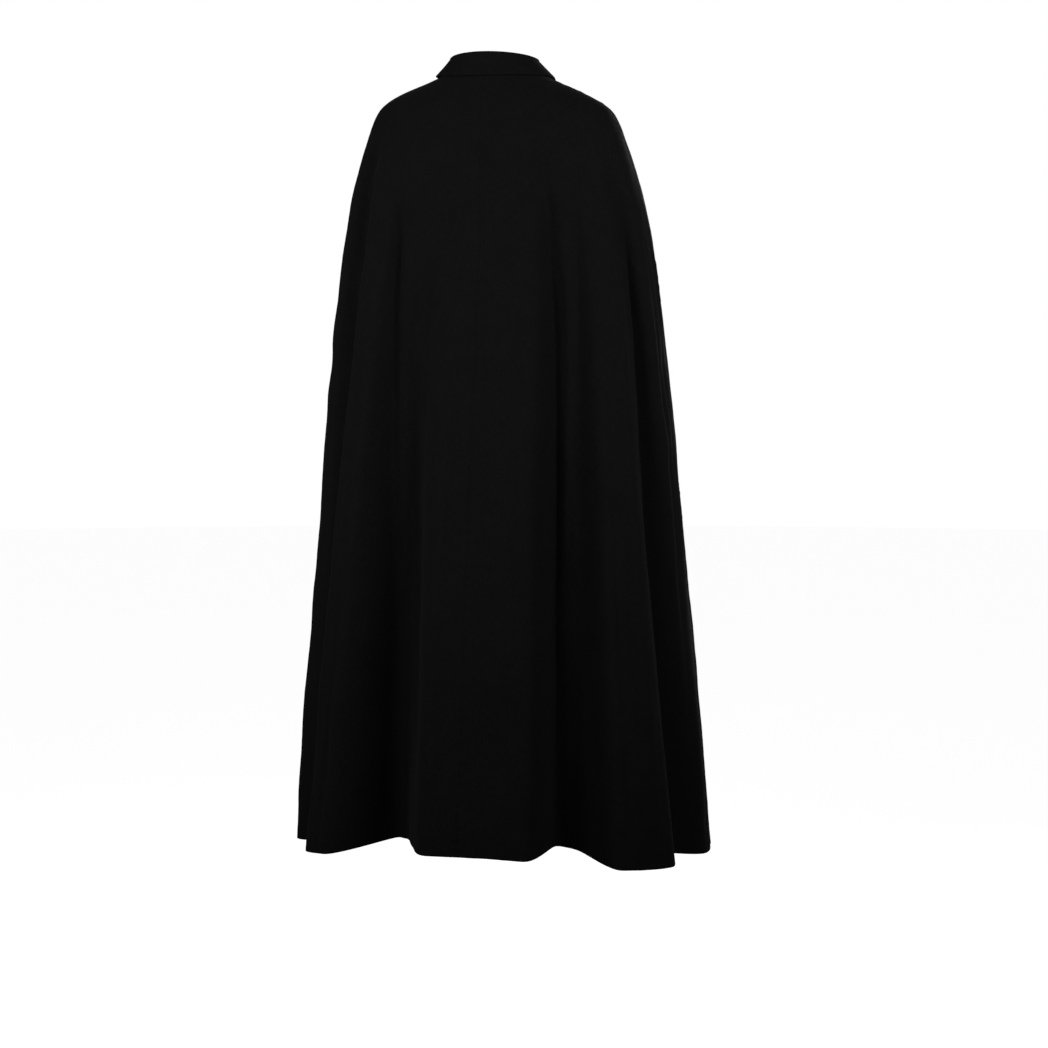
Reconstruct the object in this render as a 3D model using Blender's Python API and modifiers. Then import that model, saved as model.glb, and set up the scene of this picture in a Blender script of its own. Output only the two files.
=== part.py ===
"""Wool cloak, as it hangs on its wearer: a Blender script for its solids.

The cloak is four cloth panels (back_left, back_right, front_left, front_right), a turned-down collar
and one button at the neck. Metres, +Z up. The wearer faces -Y, so the wearer's left side is +X.
The origin is the centre of the neck opening, level with the collar's edge on the shoulders.

Azimuths are in degrees round +Z: 0 is the wearer's left side, 90 the centre back, 180 the right side
and 270 the centre front. A drop is the way down the cloth from the neck seam, measured at the side.
"""

import math

import bmesh
import bpy
from mathutils import Vector

# Driving sizes
WALL = 0.0025
SEAM_GAP = 0.0003
LAP_HALF = 0.0175
LAP_CLEAR = 0.0006
LAP_RISES = (-0.075, -0.025)
LAP_SETTLES = (0.025, 0.065)
HEM_DROP = 1.350
SWAY = -0.010
HEM_DIP = 0.008
FOLD_RISE = 0.10

# The hanging shape without folds: the cloth's inner face, as ovals round the neck axis.
# half is the oval's half width, back and front its depths from the axis, and the z columns its heights
# at the sides, the centre back and the centre front. tilt is how much higher its left side lies for each
# metre across. square is 2 for an ellipse and more for a boxier oval.
RING_COLUMNS = ("drop", "half", "back", "front", "z_side", "z_back", "z_front", "tilt", "square")
RING_ROWS = (
    (0.000, 0.0860, 0.0640, 0.0780, 0.0080, 0.0110, -0.0500, 0.020, 2.00),
    (0.030, 0.1140, 0.0735, 0.0900, -0.0035, -0.0150, -0.0700, 0.025, 2.10),
    (0.065, 0.1475, 0.0830, 0.1010, -0.0175, -0.0460, -0.1000, 0.030, 2.30),
    (0.097, 0.1752, 0.0890, 0.1090, -0.0320, -0.0780, -0.1300, 0.030, 2.50),
    (0.120, 0.1922, 0.0918, 0.1140, -0.0460, -0.1010, -0.1530, 0.030, 2.60),
    (0.142, 0.2036, 0.0932, 0.1180, -0.0650, -0.1230, -0.1750, 0.030, 2.60),
    (0.175, 0.2150, 0.0945, 0.1230, -0.0950, -0.1560, -0.2060, 0.030, 2.60),
    (0.225, 0.2310, 0.0965, 0.1290, -0.1400, -0.2050, -0.2530, 0.030, 2.60),
    (0.300, 0.2478, 0.1030, 0.1350, -0.2110, -0.2780, -0.3220, 0.028, 2.50),
    (0.420, 0.2666, 0.1210, 0.1440, -0.3300, -0.3930, -0.4350, 0.022, 2.50),
    (0.620, 0.2870, 0.1550, 0.1670, -0.5280, -0.5790, -0.6200, 0.012, 2.45),
    (0.860, 0.3070, 0.1935, 0.1990, -0.7670, -0.7950, -0.8330, 0.004, 2.40),
    (1.100, 0.3276, 0.2290, 0.2300, -1.0080, -1.0120, -1.0440, 0.000, 2.40),
    (1.350, 0.3458, 0.2640, 0.2600, -1.2615, -1.2360, -1.2620, -0.002, 2.40),
)

# The folds: each is a valley that runs down from start and is deepest at the hem.
# top and hem are its azimuths at its start and at the hem, half its half width in degrees. lean is how far
# its bottom lies to one side, as a share of its depth, which makes one of its walls the steeper.
FOLD_COLUMNS = ("top", "hem", "half", "depth", "start", "growth", "lean")
FOLD_ROWS = (
    (34.0, 24.0, 14.0, 0.060, 0.11, 0.6, 0.0),
    (61.0, 60.0, 9.0, 0.022, 0.22, 0.8, 0.0),
    (73.0, 75.0, 8.0, 0.013, 0.22, 0.7, 0.0),
    (68.0, 66.5, 18.0, 0.100, 0.25, 0.86, 0.02),
    (112.5, 111.0, 6.5, 0.028, 0.14, 0.5, 0.0),
    (127.0, 125.5, 7.5, 0.022, 0.16, 0.7, 0.0),
    (117.5, 117.5, 14.5, 0.100, 0.22, 0.82, 0.02),
    (151.0, 166.5, 13.0, 0.056, 0.13, 0.75, 0.15),
    (205.0, 207.0, 14.0, 0.060, 0.20, 1.0, -0.2),
    (231.0, 229.0, 11.0, 0.056, 0.26, 1.1, 0.25),
    (249.0, 249.0, 9.0, 0.030, 0.34, 1.1, 0.0),
    (291.0, 292.0, 11.0, 0.046, 0.30, 1.1, 0.3),
    (313.0, 315.0, 14.0, 0.064, 0.22, 1.0, -0.25),
    (338.0, 340.0, 12.0, 0.056, 0.18, 1.0, 0.1),
)

# Mesh spacing: columns across a back panel and a front panel, and the drops of the rows
BACK_COLUMNS = 44
FRONT_COLUMNS = 38
ROW_DROPS = (0.0, 0.03, 0.06, 0.088, 0.11, 0.128, 0.15, 0.185, 0.24, 0.32, 0.42, 0.54,
             0.68, 0.83, 0.99, 1.16, 1.35)

# Collar: the stand rises from the neck seam, rolls over and falls back over the seam.
# stand is its height, inset how far in its top leans, and fall how far down the cloth its edge lies.
COLLAR_COLUMNS = ("azimuth", "stand", "inset", "fall")
COLLAR_ROWS = (
    (0.0, 0.026, 0.021, 0.011),
    (90.0, 0.027, 0.007, 0.010),
    (180.0, 0.026, 0.021, 0.011),
    (270.0, 0.020, 0.010, 0.042),
)
COLLAR_ROLL = 0.004
COLLAR_STATIONS = 46
STAND_ROOT = 0.003
STAND_STEPS = 2
ROLL_STEPS = 4
FALL_STEPS = 3
COLLAR_END_STAND = 3.0
COLLAR_END_POINT = 14.0

# Button
BUTTON_DROP = 0.060
BUTTON_RADIUS = 0.0125
BUTTON_THICK = 0.0042

CLOTH_COLOUR = (0.012, 0.012, 0.013, 1.0)
BUTTON_COLOUR = (0.010, 0.010, 0.010, 1.0)

RINGS = tuple(dict(zip(RING_COLUMNS, row)) for row in RING_ROWS)
FOLDS = tuple(dict(zip(FOLD_COLUMNS, row)) for row in FOLD_ROWS)
COLLAR = tuple(dict(zip(COLLAR_COLUMNS, row)) for row in COLLAR_ROWS)


def ease(share):
    """0 to 1 with level ends."""
    share = min(max(share, 0.0), 1.0)
    return share * share * (3.0 - 2.0 * share)


def ring_slope(column, index):
    """How fast a ring column changes with the drop at one table row."""
    low = RINGS[max(index - 1, 0)]
    high = RINGS[min(index + 1, len(RINGS) - 1)]
    return (high[column] - low[column]) / (high["drop"] - low["drop"])


def ring_value(column, drop):
    """A ring column at any drop, on a smooth curve through the table rows."""
    index = max(i for i in range(len(RINGS) - 1) if i == 0 or RINGS[i]["drop"] <= drop)
    low, high = RINGS[index], RINGS[index + 1]
    span = high["drop"] - low["drop"]
    t = (drop - low["drop"]) / span
    start, end = low[column], high[column]
    start_rise = ring_slope(column, index) * span
    end_rise = ring_slope(column, index + 1) * span
    return ((2 * t ** 3 - 3 * t ** 2 + 1) * start + (t ** 3 - 2 * t ** 2 + t) * start_rise
            + (3 * t ** 2 - 2 * t ** 3) * end + (t ** 3 - t ** 2) * end_rise)


def oval_point(azimuth, drop):
    """A point of the shape without folds."""
    across = math.cos(math.radians(azimuth))
    along = math.sin(math.radians(azimuth))
    power = 2.0 / ring_value("square", drop)
    depth = ring_value("back" if along > 0 else "front", drop)
    z_end = ring_value("z_back" if along > 0 else "z_front", drop)
    x = ring_value("half", drop) * math.copysign(abs(across) ** power, across)
    y = depth * math.copysign(abs(along) ** power, along)
    z = ring_value("z_side", drop) * across ** 2 + z_end * along ** 2 + ring_value("tilt", drop) * x
    z -= HEM_DIP * (drop / HEM_DROP) ** 2 * (2 * across * along) ** 2
    return Vector((x + SWAY * drop, y, z))


def outward(azimuth, drop):
    """The level direction that points straight out of the oval."""
    step = 0.5
    along = oval_point(azimuth + step, drop) - oval_point(azimuth - step, drop)
    return Vector((along.y, -along.x, 0.0)).normalized()


def fold_move(azimuth, drop):
    """How far the folds draw the cloth in, and how far they push it round."""
    inward = around = 0.0
    for fold in FOLDS:
        run = max(drop - fold["start"], 0.0) / (HEM_DROP - fold["start"])
        centre = fold["top"] + (fold["hem"] - fold["top"]) * run
        offset = abs((azimuth - centre + 180.0) % 360.0 - 180.0) / fold["half"]
        if offset < 1.0:
            depth = fold["depth"] * run ** fold["growth"] * (1.0 + math.cos(math.pi * offset)) / 2.0
            inward += depth
            around += depth * fold["lean"]
    return inward, around


def cloth_point(azimuth, drop):
    """A point of the cloth's inner face."""
    inward, around = fold_move(azimuth, drop)
    out = outward(azimuth, drop)
    side = Vector((-out.y, out.x, 0.0))
    return oval_point(azimuth, drop) - out * inward + side * around + Vector((0.0, 0.0, FOLD_RISE * inward))


def cloth_frame(azimuth, drop):
    """The point, the direction up the cloth to the neck, and the cloth's outward normal."""
    turn = 0.4
    step = 0.002
    point = cloth_point(azimuth, drop)
    up = (cloth_point(azimuth, max(drop - step, 0.0)) - cloth_point(azimuth, drop + step)).normalized()
    along = (cloth_point(azimuth + turn, drop) - cloth_point(azimuth - turn, drop)).normalized()
    return point, up, along.cross(up).normalized()


def azimuth_at(x, drop, centre):
    """The azimuth near the centre back (90) or centre front (270) where the oval passes x."""
    share = abs(x) / ring_value("half", drop)
    turn = math.degrees(math.asin(share ** (ring_value("square", drop) / 2.0)))
    return centre - math.copysign(turn, x) * (1 if centre == 90.0 else -1)


def azimuth_side(y, drop, centre):
    """The azimuth near a side (0 or 180) where the oval passes y."""
    depth = ring_value("back" if y > 0 else "front", drop)
    turn = math.degrees(math.asin((abs(y) / depth) ** (ring_value("square", drop) / 2.0)))
    return centre + math.copysign(turn, y) * (1 if centre == 0.0 else -1)


def lap_rise(x):
    """How far the upper layer rises at the centre front, where the right front lies on the left."""
    foot, top = LAP_RISES
    end, flat = LAP_SETTLES
    return (WALL + LAP_CLEAR) * ease((x - foot) / (top - foot)) * ease((flat - x) / (flat - end))


def material(name, colour, roughness):
    """A plain Principled material."""
    made = bpy.data.materials.new(name)
    made.use_nodes = True
    shader = made.node_tree.nodes["Principled BSDF"]
    shader.inputs["Base Color"].default_value = colour
    shader.inputs["Roughness"].default_value = roughness
    shader.inputs["Metallic"].default_value = 0.0
    return made


def loft(name, grid, finish, collection):
    """An open surface through a grid of points, given its wall by Solidify on the outward side."""
    mesh = bmesh.new()
    rows = [[mesh.verts.new(point) for point in line] for line in grid]
    for line, after in zip(rows, rows[1:]):
        for j in range(len(line) - 1):
            mesh.faces.new((line[j], after[j], after[j + 1], line[j + 1]))
    data = bpy.data.meshes.new(name)
    mesh.to_mesh(data)
    mesh.free()
    data.shade_smooth()
    piece = bpy.data.objects.new(name, data)
    collection.objects.link(piece)
    data.materials.append(finish)
    wall = piece.modifiers.new("wall", "SOLIDIFY")
    wall.thickness = WALL
    wall.offset = 1.0
    wall.use_even_offset = True
    wall.use_quality_normals = True
    return piece


def panel(name, start, end, columns, finish, collection, over=False):
    """One cloth panel between two edges, each edge a function that gives its azimuth at a drop."""
    grid = []
    for drop in ROW_DROPS:
        first, last = start(drop), end(drop)
        line = []
        for j in range(columns + 1):
            azimuth = first + (last - first) * j / columns
            point, _, normal = cloth_frame(azimuth, drop)
            line.append(point + normal * lap_rise(point.x) if over else point)
        grid.append(line)
    return loft(name, grid, finish, collection)


def collar_value(column, azimuth):
    """A collar column at any azimuth, eased between the four table rows."""
    place = (azimuth % 360.0) / 90.0
    low = int(place) % len(COLLAR)
    high = (low + 1) % len(COLLAR)
    return COLLAR[low][column] + (COLLAR[high][column] - COLLAR[low][column]) * ease(place - int(place))


def fall_cover(azimuth, drop):
    """Where the collar's visible face lies flat on the panels, and their outward normal there."""
    point, _, normal = cloth_frame(azimuth, drop)
    lift = lap_rise(point.x) if point.y < 0 else 0.0
    return point + normal * (2 * WALL + LAP_CLEAR + lift), normal


def collar_section(azimuth):
    """The collar's visible face at one azimuth, from the neck seam up, over the roll and down."""
    point, up, normal = cloth_frame(azimuth, 0.0)
    out = outward(azimuth, 0.0)
    rise = Vector((0.0, 0.0, 1.0))
    lift = lap_rise(point.x) if azimuth > 180.0 else 0.0
    seam = point + normal * lift + up * SEAM_GAP
    top = point - out * collar_value("inset", azimuth) + rise * collar_value("stand", azimuth)
    root = seam + up * STAND_ROOT
    points = [seam]
    for step in range(STAND_STEPS):
        share = step / STAND_STEPS
        along_root = root + up * (top - root).length * share
        points.append(along_root.lerp(root.lerp(top, share), ease(share)))
    centre = top + out * COLLAR_ROLL
    for step in range(ROLL_STEPS + 1):
        turn = math.pi * step / ROLL_STEPS
        points.append(centre - out * COLLAR_ROLL * math.cos(turn) + rise * COLLAR_ROLL * math.sin(turn))
    fall = collar_value("fall", azimuth)
    edge, _ = fall_cover(azimuth, fall)
    outer = points[-1]
    for step in range(1, FALL_STEPS + 1):
        share = step / FALL_STEPS
        straight = outer.lerp(edge, share)
        laid, laid_normal = fall_cover(azimuth, fall * share)
        points.append(straight + laid_normal * max((laid - straight).dot(laid_normal), 0.0))
    return points


def collar(finish, collection):
    """The collar, open at the centre front, with its two plain points."""
    grid = []
    rolled = 1 + STAND_STEPS
    last = rolled + ROLL_STEPS + FALL_STEPS
    for step in range(last + 1):
        fall = ease((step - rolled) / (last - rolled))
        end = COLLAR_END_STAND + (COLLAR_END_POINT - COLLAR_END_STAND) * fall
        grid.append([collar_section(-90.0 + end + (360.0 - 2 * end) * j / COLLAR_STATIONS)[step]
                     for j in range(COLLAR_STATIONS + 1)])
    grid.reverse()
    return loft("collar", grid, finish, collection)


def button(finish, collection):
    """A plain round button on the right front, under the collar's points."""
    point, up, normal = cloth_frame(270.0, BUTTON_DROP)
    base = point + normal * (lap_rise(0.0) + WALL + SEAM_GAP)
    bpy.ops.mesh.primitive_cylinder_add(vertices=28, radius=BUTTON_RADIUS, depth=BUTTON_THICK)
    piece = bpy.context.object
    piece.name = "button"
    piece.data.name = "button"
    piece.location = base + normal * BUTTON_THICK / 2
    piece.rotation_euler = normal.to_track_quat("Z", "Y").to_euler()
    for owner in piece.users_collection:
        owner.objects.unlink(piece)
    collection.objects.link(piece)
    piece.data.materials.append(finish)
    bevel = piece.modifiers.new("round", "BEVEL")
    bevel.width = 0.001
    bevel.segments = 2
    return piece


def main():
    """Clear the scene and build the cloak."""
    for old in list(bpy.data.objects):
        bpy.data.objects.remove(old, do_unlink=True)
    collection = bpy.data.collections.new("wool_cloak")
    bpy.context.scene.collection.children.link(collection)
    cloth = material("wool", CLOTH_COLOUR, 0.9)
    horn = material("horn", BUTTON_COLOUR, 0.4)
    half_gap = SEAM_GAP / 2
    panel("back_left", lambda drop: azimuth_side(half_gap, drop, 0.0),
          lambda drop: azimuth_at(half_gap, drop, 90.0), BACK_COLUMNS, cloth, collection)
    panel("back_right", lambda drop: azimuth_at(-half_gap, drop, 90.0),
          lambda drop: azimuth_side(half_gap, drop, 180.0), BACK_COLUMNS, cloth, collection)
    panel("front_right", lambda drop: azimuth_side(-half_gap, drop, 180.0),
          lambda drop: azimuth_at(LAP_HALF, drop, 270.0), FRONT_COLUMNS, cloth, collection, over=True)
    panel("front_left", lambda drop: azimuth_at(-LAP_HALF, drop, 270.0),
          lambda drop: azimuth_side(-half_gap, drop, 0.0) + 360.0, FRONT_COLUMNS, cloth, collection)
    collar(cloth, collection)
    button(horn, collection)


main()
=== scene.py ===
"""Wool cloak: its cloth, button and sewing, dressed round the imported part.

Metres, +Z up. The wearer faces -Y, so the wearer's left side is +X. Azimuths are in degrees round +Z:
0 is the wearer's left side, 90 the centre back, 180 the right side and 270 the centre front. A drop is the
way down the cloth from the neck seam, measured at the side.
"""

import math

import bmesh
import bpy
import numpy as np
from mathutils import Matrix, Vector

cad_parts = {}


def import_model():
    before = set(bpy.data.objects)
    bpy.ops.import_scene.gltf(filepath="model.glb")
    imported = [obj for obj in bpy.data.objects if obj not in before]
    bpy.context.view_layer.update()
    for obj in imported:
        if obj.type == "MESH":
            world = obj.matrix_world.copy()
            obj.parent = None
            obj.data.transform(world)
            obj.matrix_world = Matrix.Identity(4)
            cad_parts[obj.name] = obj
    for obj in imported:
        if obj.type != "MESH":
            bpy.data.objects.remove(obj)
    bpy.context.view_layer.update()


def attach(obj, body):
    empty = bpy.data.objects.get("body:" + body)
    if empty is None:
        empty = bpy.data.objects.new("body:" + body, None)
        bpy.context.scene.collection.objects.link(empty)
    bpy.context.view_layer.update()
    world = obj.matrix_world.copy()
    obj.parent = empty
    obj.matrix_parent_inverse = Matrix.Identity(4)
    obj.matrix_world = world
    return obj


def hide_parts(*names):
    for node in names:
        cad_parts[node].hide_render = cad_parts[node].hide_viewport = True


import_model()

# ---------------------------------------------------------------- the cloak's form, as in its solids
# Sizes and tables in this part are those of the solids.
WALL = 0.0025
SEAM_GAP = 0.0003
LAP_HALF = 0.0175
LAP_CLEAR = 0.0006
LAP_RISES = (-0.075, -0.025)
LAP_SETTLES = (0.025, 0.065)
HEM_DROP = 1.350
SWAY = -0.010
HEM_DIP = 0.008
FOLD_RISE = 0.10

RING_COLUMNS = ("drop", "half", "back", "front", "z_side", "z_back", "z_front", "tilt", "square")
RINGS = np.array((
    (0.000, 0.0860, 0.0640, 0.0780, 0.0080, 0.0110, -0.0500, 0.020, 2.00),
    (0.030, 0.1140, 0.0735, 0.0900, -0.0035, -0.0150, -0.0700, 0.025, 2.10),
    (0.065, 0.1475, 0.0830, 0.1010, -0.0175, -0.0460, -0.1000, 0.030, 2.30),
    (0.097, 0.1752, 0.0890, 0.1090, -0.0320, -0.0780, -0.1300, 0.030, 2.50),
    (0.120, 0.1922, 0.0918, 0.1140, -0.0460, -0.1010, -0.1530, 0.030, 2.60),
    (0.142, 0.2036, 0.0932, 0.1180, -0.0650, -0.1230, -0.1750, 0.030, 2.60),
    (0.175, 0.2150, 0.0945, 0.1230, -0.0950, -0.1560, -0.2060, 0.030, 2.60),
    (0.225, 0.2310, 0.0965, 0.1290, -0.1400, -0.2050, -0.2530, 0.030, 2.60),
    (0.300, 0.2478, 0.1030, 0.1350, -0.2110, -0.2780, -0.3220, 0.028, 2.50),
    (0.420, 0.2666, 0.1210, 0.1440, -0.3300, -0.3930, -0.4350, 0.022, 2.50),
    (0.620, 0.2870, 0.1550, 0.1670, -0.5280, -0.5790, -0.6200, 0.012, 2.45),
    (0.860, 0.3070, 0.1935, 0.1990, -0.7670, -0.7950, -0.8330, 0.004, 2.40),
    (1.100, 0.3276, 0.2290, 0.2300, -1.0080, -1.0120, -1.0440, 0.000, 2.40),
    (1.350, 0.3458, 0.2640, 0.2600, -1.2615, -1.2360, -1.2620, -0.002, 2.40),
))

# top and hem are a fold's azimuths at its start and at the hem, and half is half its width, in degrees.
# lean is how far it leans round the cloak, as a share of its depth.
FOLD_COLUMNS = ("top", "hem", "half", "depth", "start", "growth", "lean")
FOLDS = (
    (34.0, 24.0, 14.0, 0.060, 0.11, 0.6, 0.0),
    (61.0, 60.0, 9.0, 0.022, 0.22, 0.8, 0.0),
    (73.0, 75.0, 8.0, 0.013, 0.22, 0.7, 0.0),
    (68.0, 66.5, 18.0, 0.100, 0.25, 0.86, 0.02),
    (112.5, 111.0, 6.5, 0.028, 0.14, 0.5, 0.0),
    (127.0, 125.5, 7.5, 0.022, 0.16, 0.7, 0.0),
    (117.5, 117.5, 14.5, 0.100, 0.22, 0.82, 0.02),
    (151.0, 166.5, 13.0, 0.056, 0.13, 0.75, 0.15),
    (205.0, 207.0, 14.0, 0.060, 0.20, 1.0, -0.2),
    (231.0, 229.0, 11.0, 0.056, 0.26, 1.1, 0.25),
    (249.0, 249.0, 9.0, 0.030, 0.34, 1.1, 0.0),
    (291.0, 292.0, 11.0, 0.046, 0.30, 1.1, 0.3),
    (313.0, 315.0, 14.0, 0.064, 0.22, 1.0, -0.25),
    (338.0, 340.0, 12.0, 0.056, 0.18, 1.0, 0.1),
)

COLLAR_COLUMNS = ("azimuth", "stand", "inset", "fall")
COLLAR = np.array((
    (0.0, 0.026, 0.021, 0.011),
    (90.0, 0.027, 0.007, 0.010),
    (180.0, 0.026, 0.021, 0.011),
    (270.0, 0.020, 0.010, 0.042),
))
COLLAR_ROLL = 0.004
STAND_ROOT = 0.003
STAND_STEPS = 2
ROLL_STEPS = 4
FALL_STEPS = 3
COLLAR_END_STAND = 3.0
COLLAR_END_POINT = 14.0

BUTTON_DROP = 0.060
BUTTON_RADIUS = 0.0125
BUTTON_THICK = 0.0042

LEFT, BACK, RIGHT, FRONT = 0.0, 90.0, 180.0, 270.0

# ---------------------------------------------------------------- soft creases
# Each is a trough that runs down the cloth; a depth below zero is a ridge. It fades in over rise metres
# after start and out over the same before end. azimuth is where it points at the neck and hem where it
# points at the hem, half is half its width and sway is how far it wanders, all in degrees.
CREASE_COLUMNS = ("azimuth", "hem", "half", "depth", "start", "end", "rise", "sway")
CREASES = (
    # left side strip
    (3.0, 1.0, 5.0, 0.0045, 0.24, 1.50, 0.30, 0.8),
    (12.5, 10.0, 4.5, -0.0030, 0.20, 1.50, 0.25, 0.6),
    (20.0, 15.0, 4.0, 0.0030, 0.42, 1.50, 0.35, 0.7),
    # left bulge
    (42.0, 38.0, 5.0, -0.0024, 0.12, 1.20, 0.16, 0.8),
    (49.0, 46.0, 5.5, 0.0026, 0.26, 1.50, 0.30, 0.9),
    (55.0, 53.0, 4.0, -0.0020, 0.40, 1.15, 0.24, 0.6),
    # left valley
    (60.5, 56.5, 7.0, 0.0125, 0.17, 1.00, 0.22, 0.3),
    (66.0, 64.5, 4.0, -0.0030, 0.30, 1.00, 0.20, 0.6),
    (67.0, 79.5, 6.5, 0.0080, 0.50, 1.90, 0.40, 0.3),
    (76.5, 77.0, 3.2, 0.0018, 0.24, 0.80, 0.16, 0.5),
    # centre back
    (82.0, 82.5, 4.0, -0.0016, 0.30, 1.50, 0.22, 0.7),
    (86.0, 87.0, 3.0, 0.0012, 0.55, 1.50, 0.30, 0.6),
    (95.0, 94.0, 4.5, 0.0015, 0.34, 1.25, 0.25, 0.8),
    (100.5, 99.0, 4.0, -0.0016, 0.22, 1.50, 0.24, 0.6),
    (105.5, 103.5, 3.0, -0.0022, 0.18, 0.95, 0.14, 0.4),
    # right valley
    (112.0, 111.5, 4.2, 0.0070, 0.15, 1.45, 0.22, 0.3),
    (119.0, 116.0, 4.0, -0.0030, 0.20, 0.92, 0.20, 0.5),
    (124.5, 123.0, 3.6, 0.0036, 0.22, 1.20, 0.22, 0.4),
    (129.5, 127.0, 3.6, -0.0026, 0.18, 0.78, 0.12, 0.5),
    # right bulge
    (137.0, 136.0, 5.0, 0.0024, 0.30, 1.50, 0.30, 0.8),
    (144.0, 145.5, 5.0, -0.0026, 0.14, 1.28, 0.18, 0.7),
    (150.0, 153.0, 4.2, 0.0020, 0.46, 1.50, 0.34, 0.6),
    (151.0, 169.0, 5.0, 0.0070, 0.24, 1.25, 0.24, 0.3),
    # right side strip
    (170.0, 175.0, 4.0, 0.0032, 0.30, 1.50, 0.30, 0.7),
    (177.0, 180.5, 4.2, -0.0032, 0.18, 1.50, 0.24, 0.8),
    (186.0, 188.0, 5.0, 0.0044, 0.26, 1.50, 0.30, 0.8),
    # front
    (196.0, 195.0, 4.5, -0.0032, 0.22, 1.30, 0.22, 0.8),
    (214.0, 216.0, 4.5, -0.0030, 0.18, 1.50, 0.26, 0.7),
    (220.5, 220.0, 3.6, 0.0024, 0.36, 1.50, 0.30, 0.7),
    (238.5, 238.0, 4.2, -0.0030, 0.24, 1.50, 0.26, 0.8),
    (245.0, 243.5, 3.4, 0.0022, 0.52, 1.24, 0.20, 0.5),
    (255.5, 257.0, 4.4, -0.0026, 0.26, 1.50, 0.30, 0.7),
    (262.0, 262.5, 4.0, 0.0030, 0.44, 1.50, 0.36, 0.8),
    (276.0, 275.0, 4.2, -0.0018, 0.36, 1.18, 0.26, 0.7),
    (282.5, 283.0, 4.2, 0.0030, 0.30, 1.50, 0.30, 0.8),
    (299.5, 301.0, 4.4, -0.0032, 0.22, 1.50, 0.26, 0.8),
    (306.0, 307.0, 3.4, 0.0020, 0.40, 1.20, 0.24, 0.5),
    (324.0, 326.0, 4.4, -0.0034, 0.18, 1.50, 0.24, 0.8),
    (330.0, 332.0, 3.4, 0.0022, 0.50, 1.50, 0.30, 0.6),
    (347.0, 349.0, 4.6, -0.0034, 0.22, 1.50, 0.26, 0.8),
    (354.5, 355.5, 4.0, 0.0030, 0.44, 1.30, 0.30, 0.7),
)

# Soft dents and swellings where the cloth rests on shoulders and arms or has been creased in wear.
# turn is the angle of the long axis from straight down, towards larger azimuths; a depth below zero swells.
DENT_COLUMNS = ("azimuth", "drop", "length", "width", "turn", "depth")
DENTS = (
    (24.0, 0.165, 0.070, 0.020, 34.0, 0.0022),
    (38.0, 0.190, 0.090, 0.022, 24.0, -0.0020),
    (52.0, 0.230, 0.100, 0.024, 16.0, 0.0018),
    (150.0, 0.180, 0.085, 0.022, -28.0, -0.0022),
    (158.0, 0.150, 0.060, 0.018, -36.0, 0.0020),
    (135.0, 0.215, 0.100, 0.024, -18.0, 0.0018),
    (75.0, 0.120, 0.060, 0.030, 62.0, 0.0012),
    (106.0, 0.125, 0.060, 0.030, -60.0, 0.0012),
    (88.0, 0.300, 0.120, 0.040, 4.0, 0.0013),
    (31.0, 0.420, 0.110, 0.026, 12.0, -0.0024),
    (46.0, 0.560, 0.120, 0.026, 8.0, 0.0024),
    (96.0, 0.640, 0.110, 0.024, -6.0, 0.0012),
    (84.0, 0.930, 0.130, 0.030, 5.0, -0.0015),
    (101.0, 1.120, 0.120, 0.030, -5.0, 0.0016),
    (142.0, 0.520, 0.120, 0.026, -10.0, -0.0024),
    (152.0, 0.700, 0.110, 0.024, -8.0, 0.0022),
    (6.0, 0.520, 0.090, 0.024, 26.0, 0.0030),
    (358.0, 0.640, 0.080, 0.022, 20.0, -0.0026),
    (182.0, 0.500, 0.090, 0.024, -24.0, 0.0030),
    (174.0, 0.660, 0.080, 0.022, -18.0, -0.0024),
    (215.0, 0.170, 0.080, 0.022, 26.0, 0.0022),
    (327.0, 0.175, 0.080, 0.022, -28.0, 0.0022),
    (226.0, 0.420, 0.110, 0.026, 12.0, -0.0024),
    (317.0, 0.440, 0.110, 0.026, -12.0, -0.0024),
    (256.0, 0.250, 0.100, 0.030, 14.0, 0.0016),
    (287.0, 0.255, 0.100, 0.030, -14.0, 0.0016),
    (262.0, 0.720, 0.130, 0.028, 6.0, -0.0018),
    (280.0, 0.980, 0.130, 0.028, -5.0, 0.0018),
)

# How a crease wanders and widens down its length: the waves, and what each crease adds to their phase
SWAY_WAVES, SWAY_PHASE = 1.1, 0.37
WIDTH_MEAN, WIDTH_SWING, WIDTH_WAVE, WIDTH_PHASE = 0.85, 0.25, 5.0, 1.7
DENT_ROUNDNESS = 0.9
DENT_FALL = 2.2

# Slow swelling of the cloth: the length and height of the waves, and a seed
UNEVEN = ((0.16, 0.0011, 11), (0.055, 0.00040, 23), (0.022, 0.00014, 37))
UNEVEN_WAVES = 14
UNEVEN_SPREAD = (0.7, 1.4)
UNEVEN_WAYS = (1.0, 1.0, 0.45)

# Creases, dents and swelling start this far below the neck seam, and are whole so far on
CALM_NECK = 0.03
CALM_RISE = 0.10

# ---------------------------------------------------------------- sewing and cloth sizes
HEM_TURNING = 0.040
HEM_EXTRA = 0.0014
HEM_STEP = 0.0012
SEAM_ALLOWANCE = 0.015
SEAM_EXTRA = 0.0011
SEAM_STEP = 0.0009
SHOWN_GAP = 0.00002
SEAM_GROOVE = 0.0009
SEAM_GROOVE_WIDTH = 0.0016
# A pucker's height, how far it reaches from the seam, and its waves: length, share of the height and phase
PUCKER = 0.00035
PUCKER_REACH = 0.007
PUCKER_WAVES = ((0.019, 1.0, 0.0), (0.0127, 0.7, 1.3), (0.047, 0.8, 0.4))
# Turnings start this far below the neck seam and past the lap, and are whole so far on
TURNING_CLEAR = 0.004
TURNING_RISE = 0.006
EDGE_LEAST = 0.10

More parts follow.
